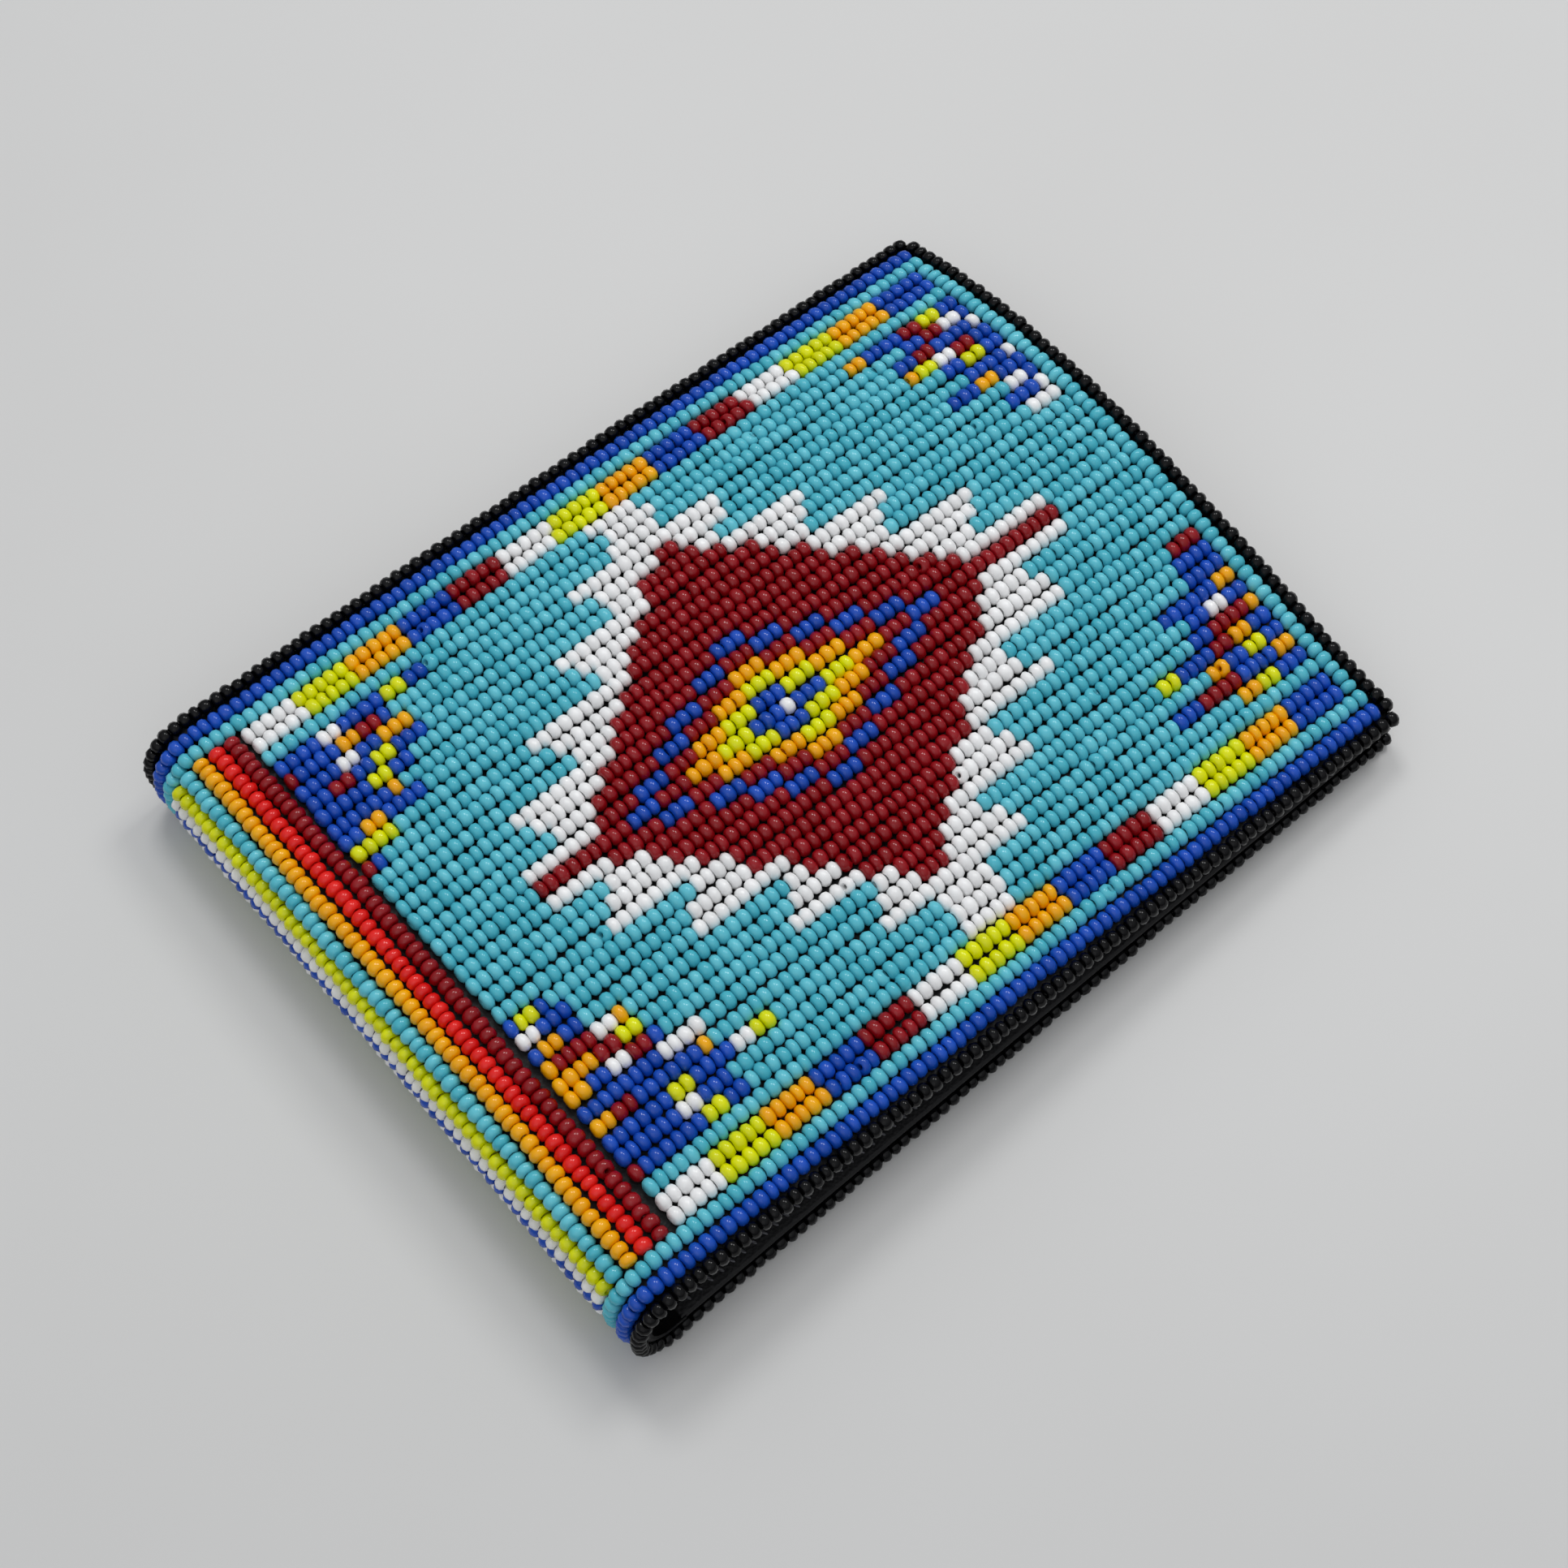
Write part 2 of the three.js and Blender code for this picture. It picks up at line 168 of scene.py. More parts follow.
def settle(x, y, z):
    """From the sheet to the room: the fold moves in, most at its near end, which also spreads. Both fade to
    nothing at the open edge with the square of the way left. Then x starts at the middle, in metres."""
    near = np.clip((half_width - y) / (2 * half_width), 0, 1)
    share = np.clip(1 - x / panel_length, 0, 1) ** 2
    x = x + (fold_inset + fold_skew * near) * share
    y = y - near_spread * near ** 2 * share
    return np.stack([x - crease_x, y, z], -1) * millimetre


def on_front(p):
    """Height runs evenly from the fold's to the open edge's, plus a parabola for the crown. The fold's ends
    sag with the square of y. The open edge drops to its corners, leans, waves once and bows outward."""
    x, y, t = np.moveaxis(p, -1, 0)
    along, side = x / panel_length, y / half_width
    spine = front_face - end_sag * side ** 2
    edge = open_height + open_twist * side + open_wave * (side - side ** 3) - open_drop * side ** 2
    crown = crown_height * along * (1 - along) * (1 - crown_side_loss * side ** 2)
    bow = open_bow * (1 - side ** 2) * (1 + bow_lean * side) * np.clip(along, 0, 1) ** 4
    return settle(x + bow, y, spine * (1 - along) + edge * along + crown + t)


def on_back(p):
    """The back panel is flat and lies face down, so y is turned over and t goes down."""
    x, y, t = np.moveaxis(p, -1, 0)
    return settle(x, -y, back_face - t)


def uneven_gloss(nodes, links, shader, factor, low, high):
    """Roughness that goes from low to high as the factor goes from 0 to 1."""
    spread = nodes.new("ShaderNodeMapRange")
    spread.inputs["To Min"].default_value = low
    spread.inputs["To Max"].default_value = high
    links.new(factor, spread.inputs["Value"])
    links.new(spread.outputs["Result"], shader.inputs["Roughness"])


def leather(name, dark, light, grain, roughness, depth):
    """Smooth leather: a clouded colour and sheen, with a fine pebbled grain as bump."""
    material, nodes, links, shader = new_material(name)
    cloud = texture(nodes, links, "ShaderNodeTexNoise", 90)
    cloud.inputs["Detail"].default_value = 6
    two_tone(nodes, links, shader, dark, light, cloud.outputs["Fac"])
    uneven_gloss(nodes, links, shader, cloud.outputs["Fac"], roughness - 0.1, roughness + 0.12)
    pores = texture(nodes, links, "ShaderNodeTexVoronoi", grain)
    bump = nodes.new("ShaderNodeBump")
    bump.inputs["Strength"].default_value = depth
    bump.inputs["Distance"].default_value = 0.00012
    links.new(pores.outputs["Distance"], bump.inputs["Height"])
    links.new(bump.outputs["Normal"], shader.inputs["Normal"])
    shader.inputs["Specular IOR Level"].default_value = 0.3
    return material


def solid(name, points, quads, material):
    """A smooth mesh from arrays. If its signed volume is negative, the faces are turned to look outward."""
    a, b, c, d = (points[quads[:, i]] for i in range(4))
    volume = np.einsum("ij,ij->", a, np.cross(b, c)) + np.einsum("ij,ij->", a, np.cross(c, d))
    if volume < 0:
        quads = quads[:, ::-1]
    mesh = bpy.data.meshes.new(name)
    mesh.vertices.add(len(points))
    mesh.vertices.foreach_set("co", points.astype(np.float32).ravel())
    mesh.loops.add(quads.size)
    mesh.loops.foreach_set("vertex_index", quads.astype(np.int32).ravel())
    mesh.polygons.add(len(quads))
    mesh.polygons.foreach_set("loop_start", np.arange(0, quads.size, 4, dtype=np.int32))
    mesh.polygons.foreach_set("use_smooth", np.ones(len(quads), dtype=bool))
    mesh.update(calc_edges=True)
    mesh.materials.append(material)
    obj = bpy.data.objects.new(name, mesh)
    scene.collection.objects.link(obj)
    return obj


def spaced(low, high, count, edge):
    """Grid lines from low to high: count even ones inside, and five that crowd towards each rim."""
    rim = edge * np.array([0, 0.1, 0.3, 0.6, 1.0])
    return np.concatenate([low + rim, np.linspace(low, high, count + 2)[1:-1], high - rim[::-1]])


def grid_faces(n):
    """The four-sided faces between the points of a grid of point numbers."""
    return np.stack([n[:-1, :-1], n[1:, :-1], n[1:, 1:], n[:-1, 1:]], -1).reshape(-1, 4)


def sheet(name, place, x_range, y_range, t_range, material, edge=0.4):
    """A sheet of leather with round edges: within the edge's width of the rim, its thickness follows a
    quarter circle to nothing. Top and bottom are two grids that share the points of the rim."""
    x_lines = spaced(*x_range, count=30, edge=edge)
    y_lines = spaced(*y_range, count=24, edge=edge)
    x, y = np.meshgrid(x_lines, y_lines, indexing="ij")
    from_x_rim = np.minimum(x - x_range[0], x_range[1] - x)
    from_y_rim = np.minimum(y - y_range[0], y_range[1] - y)
    inside = np.minimum(from_x_rim, from_y_rim)
    half = (t_range[1] - t_range[0]) / 2 * np.sqrt(1 - (1 - np.clip(inside / edge, 0, 1)) ** 2)
    middle = (t_range[1] + t_range[0]) / 2
    top = np.stack([x, y, middle + half], -1)
    bottom = np.stack([x, y, middle - half], -1)
    upper = np.arange(x.size).reshape(x.shape)
    rim = inside < 1e-9
    lower = upper.copy()
    lower[~rim] = x.size + np.arange((~rim).sum())
    points = place(np.concatenate([top.reshape(-1, 3), bottom[~rim]]))
    quads = np.concatenate([grid_faces(upper), grid_faces(lower)[:, ::-1]])
    return solid(name, points, quads, material)


cover_leather = leather("cover_leather", "#08080a", "#131315", 2600, 0.5, 0.35)
for half, place, panel_y in [
        ("front", on_front, (-near_edge, far_edge)),
        ("back", on_back, (-far_edge, near_edge))]:
    cover = sheet(half + "_cover_leather", place, panel_x, panel_y, outer_leather, cover_leather)
    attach(cover, half)
    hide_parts(half + "_cover")

# Fold leather: the covers' sheet goes on round the fold, in four lengths that each bend over one crease.
# Its outer face follows a line round the bend: legs that swell by a parabola, set in even steps and smoothed.
fold_depth, lower_knee, upper_knee = 2.3, 4.5, 10.84
lap, lap_rise, lift_limit = 2.6, 0.02, 1.05
leg_steps, bend_steps, smooth_rounds = 39, 128, 30
corners = np.array([
    [lap, back_face], [0, back_face], [-fold_depth, lower_knee],
    [-fold_depth, upper_knee], [0, front_face], [lap, front_face + lap_rise]])
swells = [0, 0.3, 0.4, 0.3, 0]
share = np.linspace(0, 1, leg_steps + 1)[:-1, None]
legs = []
for a, b, swell in zip(corners[:-1], corners[1:], swells):
    way = (b - a) / np.hypot(*(b - a))
    legs.append(a + share * (b - a) + np.array([-way[1], way[0]]) * swell * 4 * share * (1 - share))
bend = np.concatenate(legs + [corners[-1:]])
travel = np.concatenate([[0], np.cumsum(np.hypot(*np.diff(bend, axis=0).T))])
even = np.linspace(0, travel[-1], bend_steps + 1)
bend = np.stack([np.interp(even, travel, bend[:, i]) for i in (0, 1)], -1)
for _ in range(smooth_rounds):
    bend[1:-1] = 0.25 * bend[:-2] + 0.5 * bend[1:-1] + 0.25 * bend[2:]
slope = np.gradient(bend, axis=0)
slope /= np.hypot(*slope.T)[:, None]
outward = np.stack([-slope[:, 1], slope[:, 0]], -1)


def lower_ends(x, y, z):
    """The fold's ends sag with the square of y, in proportion to a point's height between the two faces."""
    lift = (z - back_face) / (front_face - back_face)
    return settle(x, y, z - end_sag * (y / half_width) ** 2 * np.clip(lift, 0, lift_limit))


# Each crease: the two bodies that it joins, its x and height on the sheet, and its blend's slant in degrees.
creases = {
    "lower": ("back", "fold_lower", 0.0, back_face, 155.8),
    "mid_lower": ("fold_lower", "fold_middle", -fold_depth, lower_knee, 110.8),
    "mid_upper": ("fold_middle", "fold_upper", -fold_depth, upper_knee, 69.2),
    "upper": ("fold_upper", "front", 0.0, front_face, 24.2)}


def bend_over(obj):
    """Bake the piece's transform into its mesh points."""
    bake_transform(obj)


skin_outer, skin_inner = 0.03, 0.87
skin_lines = 33
cut_shares = np.array([0, 0.2395, 0.5, 0.7605, 1])
cuts = np.searchsorted(even, even[-1] * cut_shares).clip(0, bend_steps)
for index, crease in enumerate(creases):
    part = slice(cuts[index], cuts[index + 1] + 1)
    outer = bend[part] - skin_outer * outward[part]
    inner = bend[part] - skin_inner * outward[part]
    loop = np.concatenate([outer, inner[::-1]])
    y = np.linspace(-near_edge, far_edge, skin_lines)
    points = lower_ends(loop[:, 0, None] + 0 * y, 0 * loop[:, 0, None] + y, loop[:, 1, None] + 0 * y)
    n = len(loop)
    grid = np.arange(n * skin_lines).reshape(n, skin_lines)
    after = np.roll(grid, -1, axis=0)
    walls = np.stack([grid[:, :-1], after[:, :-1], after[:, 1:], grid[:, 1:]], -1).reshape(-1, 4)
    i = np.arange(len(outer) - 1)
    cap = np.stack([i, i + 1, n - 2 - i, n - 1 - i], -1)
    quads = np.concatenate([walls, grid[cap, 0], grid[cap, -1][:, ::-1]])
    skin = solid("fold_skin_" + crease, points.reshape(-1, 3), quads, cover_leather)
    bend_over(skin)
    if crease != "upper":
        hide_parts(creases[crease][1] + "_leather")

# Linings: a thinner black leather, smooth and a little shinier, on the inside of each half.
# Each is sewn in a few millimetres from its cover's edge, which leaves the note pocket between the two.
lining_x, lining_half = (3.2, 102.19), 38.59
lining_t = (-1.7, -1.2)
thin_edge = 0.22
inner_leather = leather("inner_leather", "#111113", "#222225", 3600, 0.4, 0.2)
for half, place in [("front", on_front), ("back", on_back)]:
    lining_y = (-lining_half, lining_half)
    lining = sheet(half + "_lining_leather", place, lining_x, lining_y, lining_t, inner_leather, thin_edge)
    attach(lining, half)
    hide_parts(half + "_lining")

# Card pockets: one sheet of the same thin leather on each lining, sewn on three sides.
# The fourth edge is left open and lies along the half, past its middle.
pocket_x, pocket_mouth = (5.2, 101.19), 8.0
pocket_t = (-2.5, -2.0)
for half, place, pocket_y in [
        ("front", on_front, (-pocket_mouth, lining_half)), ("back", on_back, (-lining_half, pocket_mouth))]:
    pocket = sheet(half + "_pocket_leather", place, pocket_x, pocket_y, pocket_t, inner_leather, thin_edge)
    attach(pocket, half)
    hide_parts(half + "_card_pocket")


# Sewing thread: dark waxed thread in running stitches round the pocket and along the lining.
# Shorter slanting stitches whip the cover's edge. Every stitch thins and curls up a little at both ends.
def twisted_thread(name, dark, light):
    """Waxed thread: fine slanting bands stand for its twisted strands."""
    material, nodes, links, shader = new_material(name)
    strands = texture(nodes, links, "ShaderNodeTexWave", 1400)
    strands.bands_direction = "DIAGONAL"
    strands.inputs["Distortion"].default_value = 1.5
    two_tone(nodes, links, shader, dark, light, strands.outputs["Fac"])
    shader.inputs["Roughness"].default_value = 0.5
    return material


def seam(start, end, pitch, t):
    """Even stitches from one corner to the next. The columns are centre x y t, and direction."""
    start, end = np.array(start, float), np.array(end, float)
    way = end - start
    count = int(np.hypot(*way) / pitch)
    spot = start + way * ((np.arange(count) + 0.5) / count)[:, None]
    return np.column_stack([spot, np.full(count, t), np.full(count, np.arctan2(way[1], way[0]))])


def stitches(name, place, centre, yaw, length, width, material):
    """Each stitch is six rings of six points. It is thinner at the ends, and curls up off the leather there
    with the fourth power of the way out from its middle."""
    sides, curl = 6, 0.2
    axial = np.array([-1, -0.8, -0.35, 0.35, 0.8, 1])
    radius = np.array([0.35, 0.85, 1, 1, 0.85, 0.35])
    angle = np.arange(sides) * 2 * np.pi / sides
    x = np.repeat(axial, sides) * length / 2
    y = np.outer(radius, np.cos(angle)).ravel() * width / 2
    z = np.outer(radius, np.sin(angle)).ravel() * width / 2 - curl * np.repeat(axial, sides) ** 4 * width
    c, s = np.cos(yaw)[:, None], np.sin(yaw)[:, None]
    points = place(np.stack([x * c - y * s, x * s + y * c, z + 0 * c], -1) + centre[:, None]).reshape(-1, 3)
    k, m = (v.ravel() for v in np.meshgrid(np.arange(len(axial) - 1), np.arange(sides), indexing="ij"))
    here, there = k * sides, k * sides + sides
    wall = np.stack([here + m, there + m, there + (m + 1) % sides, here + (m + 1) % sides], -1)
    cap = np.array([[0, 1, 2, 3], [0, 3, 4, 5]])
    last = (len(axial) - 1) * sides
    one = np.concatenate([wall, cap, last + cap[:, ::-1]])
    quads = one[None] + (np.arange(len(centre)) * len(axial) * sides)[:, None, None]
    return solid(name, points, quads.reshape(-1, 4), material)


stitch_pitch, stitch_length, stitch_width = 2.9, 2.1, 0.42
pocket_seam_t, lining_seam_t, whip_seam_t = -2.52, -1.72, -0.93
pocket_line = [(6.8, -8.0), (6.8, 37.0), (99.6, 37.0), (99.6, -8.0)]
lining_line = [(4.4, 37.6), (4.4, -37.2), (100.8, -37.2), (100.8, -9.5)]
whip_pitch, whip_length, whip_width, whip_slant = 1.5, 1.7, 0.38, 1.2
whip_start, whip_end, whip_y = 3.0, 104.5, 39.75
whip_open_x, whip_open_y = 104.2, 39.2
thread = twisted_thread("waxed_thread", "#343438", "#5c5c62")
for half, place, far in [("front", on_front, 1), ("back", on_back, -1)]:
    runs = []
    for line, t in [(pocket_line, pocket_seam_t), (lining_line, lining_seam_t)]:
        for (x0, y0), (x1, y1) in zip(line[:-1], line[1:]):
            runs.append(seam((x0, far * y0), (x1, far * y1), stitch_pitch, t))
    runs = np.concatenate(runs)
    sewing = stitches(
        half + "_sewing_thread", place, runs[:, :3], runs[:, 3], stitch_length, stitch_width, thread)
    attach(sewing, half)
    whip = np.concatenate([
        seam((whip_start, -whip_y), (whip_end, -whip_y), whip_pitch, whip_seam_t),
        seam((whip_open_x, -whip_open_y), (whip_open_x, whip_open_y), whip_pitch, whip_seam_t),
        seam((whip_end, whip_y), (whip_start, whip_y), whip_pitch, whip_seam_t)])
    slanting = whip[:, 3] + whip_slant
    overcast = stitches(
        half + "_overcast_thread", place, whip[:, :3], slanting, whip_length, whip_width, thread)
    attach(overcast, half)


# Front beadwork: 37 rows of 70 opaque glass seed beads, strung on thread and sewn down side by side.
# Frame and blue rows close the long sides, a frame row the open edge, and a red and a dark red row the fold.
# The colours follow counted steps: the medallion's teeth, diamond and rings, the border and the patches.
def glass(name, dark, light, roughness, milky, shine=0.4):
    """Opaque glass: every bead's own tint sets its colour, noise makes the glaze uneven, and milky glass lets
    some light in."""
    material, nodes, links, shader = new_material(name)
    tint = nodes.new("ShaderNodeAttribute")
    tint.attribute_name = "tint"
    two_tone(nodes, links, shader, dark, light, tint.outputs["Fac"])
    cloud = texture(nodes, links, "ShaderNodeTexNoise", 900)
    uneven_gloss(nodes, links, shader, cloud.outputs["Fac"], roughness - 0.05, roughness + 0.09)
    shader.inputs["IOR"].default_value = 1.5
    shader.inputs["Specular IOR Level"].default_value = shine
    shader.inputs["Subsurface Weight"].default_value = milky
    shader.inputs["Subsurface Radius"].default_value = (0.4, 0.4, 0.4)
    shader.inputs["Subsurface Scale"].default_value = 0.0006
    return material


X, Y, T, DIAMETER, LENGTH, YAW, PITCH, LEAN, TINT = range(9)
dice = np.random.default_rng(2024)
length_spread, seat_spread, height_spread, size_spread = 0.07, 0.035, 0.04, 0.035
yaw_spread, pitch_spread = 0.07, 0.08
snug, full_turn = 1.02, 6.28


def strand(start, end, count, across, along_y=False, height=0.95, diameter=2.12, wander=0.07, loose=1.0):
    """One strung row, with a line of numbers for each bead. Beads of slightly uneven length fill it from end
    to end, three sines of random phase make it wander, and each bead sits, turns and is tinted by itself."""
    lengths = 1 + length_spread * loose * dice.standard_normal(count).clip(-2, 2)
    edges = np.concatenate([[0], np.cumsum(lengths)])
    edges = start + (end - start) * edges / edges[-1]
    middle, length = (edges[1:] + edges[:-1]) / 2, np.diff(edges)
    s = np.linspace(0, 1, count)
    phase = dice.uniform(0, full_turn, 3)
    sway = np.sin(8.2 * s + phase[0]) + 0.6 * np.sin(19.5 * s + phase[1]) + 0.4 * np.sin(42.1 * s + phase[2])
    aside = across + wander * sway + seat_spread * loose * dice.standard_normal(count)
    rows = np.empty((count, 9))
    rows[:, X], rows[:, Y] = (aside, middle) if along_y else (middle, aside)
    rows[:, T] = height + height_spread * loose * dice.standard_normal(count).clip(-2, 2)
    rows[:, DIAMETER] = diameter * (1 + size_spread * loose * dice.standard_normal(count).clip(-2, 2))
    rows[:, LENGTH] = length * snug
    rows[:, YAW] = (np.pi / 2 if along_y else 0) + yaw_spread * loose * dice.standard_normal(count)
    rows[:, PITCH] = pitch_spread * loose * dice.standard_normal(count)
    rows[:, LEAN] = dice.uniform(0, full_turn, count)
    rows[:, TINT] = dice.uniform(0, 1, count)
    return rows


def beads(name, place, rows, material, segments=9):
    """A bead is a ring with a round shoulder and a hole: a closed profile, in shares of half its length and
    width, turned about the thread. Each copy is scaled, leaned, pitched, yawed and set in its place."""
    profile = np.array([
        [0, 1], [0.57, 0.88], [0.97, 0.54], [0.8, 0.3], [-0.8, 0.3], [-0.97, 0.54], [-0.57, 0.88]])
    rings = len(profile)
    angle = np.arange(segments) * 2 * np.pi / segments
    ring = np.stack([
        np.repeat(profile[:, 0], segments),
        np.outer(profile[:, 1], np.cos(angle)).ravel(),
        np.outer(profile[:, 1], np.sin(angle)).ravel()], -1)
    local = ring[None] * 0.5 * rows[:, [LENGTH, DIAMETER, DIAMETER]][:, None]
    yaw, pitch, lean = rows[:, YAW, None], rows[:, PITCH, None], rows[:, LEAN, None]
    x, y, z = np.moveaxis(local, -1, 0)
    y, z = y * np.cos(lean) - z * np.sin(lean), y * np.sin(lean) + z * np.cos(lean)
    x, z = x * np.cos(pitch) - z * np.sin(pitch), x * np.sin(pitch) + z * np.cos(pitch)
    x, y = x * np.cos(yaw) - y * np.sin(yaw), x * np.sin(yaw) + y * np.cos(yaw)
    points = place(np.stack([x, y, z], -1) + rows[:, None, [X, Y, T]]).reshape(-1, 3)
    k, m = (v.ravel() for v in np.meshgrid(np.arange(rings), np.arange(segments), indexing="ij"))
    k2, m2 = (k + 1) % rings, (m + 1) % segments
    quad = np.stack([k * segments + m, k2 * segments + m, k2 * segments + m2, k * segments + m2], -1)
    quads = (quad[None] + (np.arange(len(rows)) * rings * segments)[:, None, None]).reshape(-1, 4)
    obj = solid(name, points, quads, material)
    attribute = obj.data.attributes.new("tint", "FLOAT", "POINT")
    attribute.data.foreach_set("value", np.repeat(rows[:, TINT], rings * segments).astype(np.float32))
    return obj


TURQUOISE, BLUE, WHITE, DARK_RED, RED, ORANGE, YELLOW = range(7)
middle_row, row_beads = 18, 70
row, bead = np.meshgrid(np.arange(-middle_row, middle_row + 1), np.arange(row_beads), indexing="ij")
rows_off, beads_off = np.abs(row), np.abs(bead - row_beads // 2)
pattern = np.full(row.shape, TURQUOISE)

# Teeth: counted in from the band's tip, the white steps wider at every third row and slants back between.
band_rows, tip_half, widest_half, middle_half = 13, 3.5, 26, 26.5
tooth_base, tooth_step, tooth_slant, open_side_less = 8.7, 5.2, 1.05, 2.2
tooth = np.clip(band_rows - rows_off, 0, band_rows)
stepped = np.minimum(tooth_base + tooth_step * (tooth // 3) - tooth_slant * (tooth % 3), widest_half)
white_half = np.where(rows_off > band_rows, tip_half, stepped)
white_half = np.where((bead > row_beads // 2) & (rows_off > 1), white_half - open_side_less, white_half)
white_half = np.where(row == 0, middle_half, white_half)
border_row = 17
pattern[(beads_off <= white_half) & (rows_off < border_row)] = WHITE

# Diamond: it narrows by the same step each row, leans a little, and runs out in a spike on the middle row.
diamond_rows, diamond_half, diamond_step, spike_half = 12, 20.5, 1.62, 26.2
diamond_middle, diamond_lean = 34.6, 0.065
leaning = bead - diamond_middle + diamond_lean * (diamond_rows - row)
pattern[(np.abs(leaning) <= diamond_half - diamond_step * rows_off) & (rows_off <= diamond_rows)] = DARK_RED
pattern[(row == 0) & (beads_off <= spike_half)] = DARK_RED

# Rings and heart: one row out counts as three beads along, less one for all rows but the middle one.
heart_bead, row_worth = 33, 3
ring = np.abs(bead - heart_bead) + row_worth * rows_off - (rows_off > 0)
for limit, colour in [
        (15.5, BLUE), (12.5, DARK_RED), (9.5, ORANGE), (6.5, YELLOW), (3.5, BLUE), (0.5, WHITE)]:
    pattern[ring <= limit] = colour

# Border: blocks of five beads on the two outermost rows of each side, in a round of five colours.
block_beads, block_round = 5, np.array([WHITE, YELLOW, ORANGE, BLUE, DARK_RED])
blocks = block_round[(bead // block_beads) % len(block_round)]
pattern = np.where(rows_off >= border_row, blocks, pattern)

# Patches: side, open end or not, and how many beads wide each row is; pairs of beads take a colour by chance.
patches = [
    (1, 0, [14, 10, 11, 11, 9, 7, 8, 4, 2]),
    (-1, 0, [11, 11, 16, 11, 12, 9, 8, 8, 5, 5, 4]),
    (1, 1, [12, 7, 9, 9, 6, 5, 8, 3, 4, 3]),
    (-1, 1, [7, 13, 8, 12, 7, 6, 8, 4, 4, 3])]
patch_row, most_pairs = 15, 11
fleck_colours, fleck_odds = [BLUE, WHITE, DARK_RED, ORANGE, YELLOW], [0.55, 0.08, 0.13, 0.14, 0.1]
scatter = np.random.default_rng(11)
for side, end, widths in patches:
    for step, width in enumerate(widths):
        flecks = scatter.choice(fleck_colours, most_pairs, p=fleck_odds)
        shift = scatter.integers(0, 2)
        span = slice(row_beads - width, row_beads) if end else slice(0, width)
        pattern[middle_row + side * (patch_row - step), span] = np.repeat(flecks, 2)[shift:shift + width]

field_end = 103.39
frame_row, blue_row = 19 * row_pitch, 20 * row_pitch
long_start, long_end, long_beads, long_wander = 1.53, 105.3, 75, 0.06
open_row, open_reach, open_beads, open_wander = 104.5, 36.5, 52, 0.05
red_row, dark_red_row, fold_beads = 2.38, 4.46, 53


def half_rows(pattern, starts, fold_reach, fold_wander, height, diameter, fold_diameter):
    """All the beads of one half, with their colours: the pattern's rows, a frame and a blue row along each
    long side, the frame row along the open edge, and the red and dark red rows along the fold."""
    rows, colours = [], []
    long_fit = (height, diameter, long_wander)
    open_fit = (height, diameter, open_wander)
    fold_fit = (height, fold_diameter, fold_wander)
    for index, start in enumerate(starts):
        across = row_pitch * (index - middle_row)
        rows.append(strand(start, field_end, row_beads, across, height=height, diameter=diameter))
        colours.append(pattern[index])
    for side in (-1, 1):
        for across, colour in [(side * frame_row, TURQUOISE), (side * blue_row, BLUE)]:
            rows.append(strand(long_start, long_end, long_beads, across, False, *long_fit))
            colours.append(np.full(long_beads, colour))
    rows.append(strand(-open_reach, open_reach, open_beads, open_row, True, *open_fit))
    colours.append(np.full(open_beads, TURQUOISE))
    for across, colour in [(red_row, RED), (dark_red_row, DARK_RED)]:
        rows.append(strand(-fold_reach, fold_reach, fold_beads, across, True, *fold_fit))
        colours.append(np.full(fold_beads, colour))
    return np.concatenate(rows), np.concatenate(colours)


row_count = 2 * middle_row + 1
near_start, far_earlier = 6.15, 0.4
slanting_starts = near_start - far_earlier * np.arange(row_count) / (row_count - 1)
starts = slanting_starts + scatter.uniform(-0.12, 0.16, row_count)
bead_height, field_diameter = 0.95, 2.12
fold_reach, fold_wander, fold_diameter = 36.6, 0.06, 2.14
front_rows, front_colours = half_rows(
    pattern, starts, fold_reach, fold_wander, bead_height, field_diameter, fold_diameter)
stray_count = 34
stray = dice.choice(len(front_rows), stray_count, replace=False)
front_rows[stray, PITCH] += dice.choice([-1, 1], stray_count) * dice.uniform(0.35, 0.8, stray_count)

glaze = 0.14
bead_glass = {}
for colour, name, dark, light, milky, nodes_shown in [
        (TURQUOISE, "turquoise", "#48b2c4", "#66c6d6", 0.12,
         ["field_fold_side", "field_open_side", "front_turquoise_frame"]),
        (BLUE, "blue", "#0c44a8", "#1a52c0", 0.05,
         ["front_blue_row_far", "front_blue_row_near", "medallion_blue_ring", "medallion_blue_heart",
          "patch_far_fold", "patch_near_fold", "patch_far_open", "patch_near_open"]),
        (WHITE, "white", "#e8e8e8", "#f4f4f4", 0.6,
         ["medallion_white_far", "medallion_white_near", "block_border_far", "block_border_near"]),
        (DARK_RED, "dark_red", "#84040c", "#96101a", 0.05,
         ["medallion_red_diamond", "medallion_red_ring", "front_dark_red_row"]),
        (RED, "red", "#d81210", "#ea221c", 0.05, ["front_red_row"]),
        (ORANGE, "orange", "#eea400", "#f6b000", 0.08, ["medallion_orange_ring"]),
        (YELLOW, "yellow", "#d4d800", "#e4e800", 0.08, ["medallion_yellow_ring"])]:
    bead_glass[name] = glass(name + "_glass", dark, light, glaze, milky)
    strung = beads(f"front_{name}_beads", on_front, front_rows[front_colours == colour], bead_glass[name])
    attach(strung, "front")
    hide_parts(*nodes_shown)

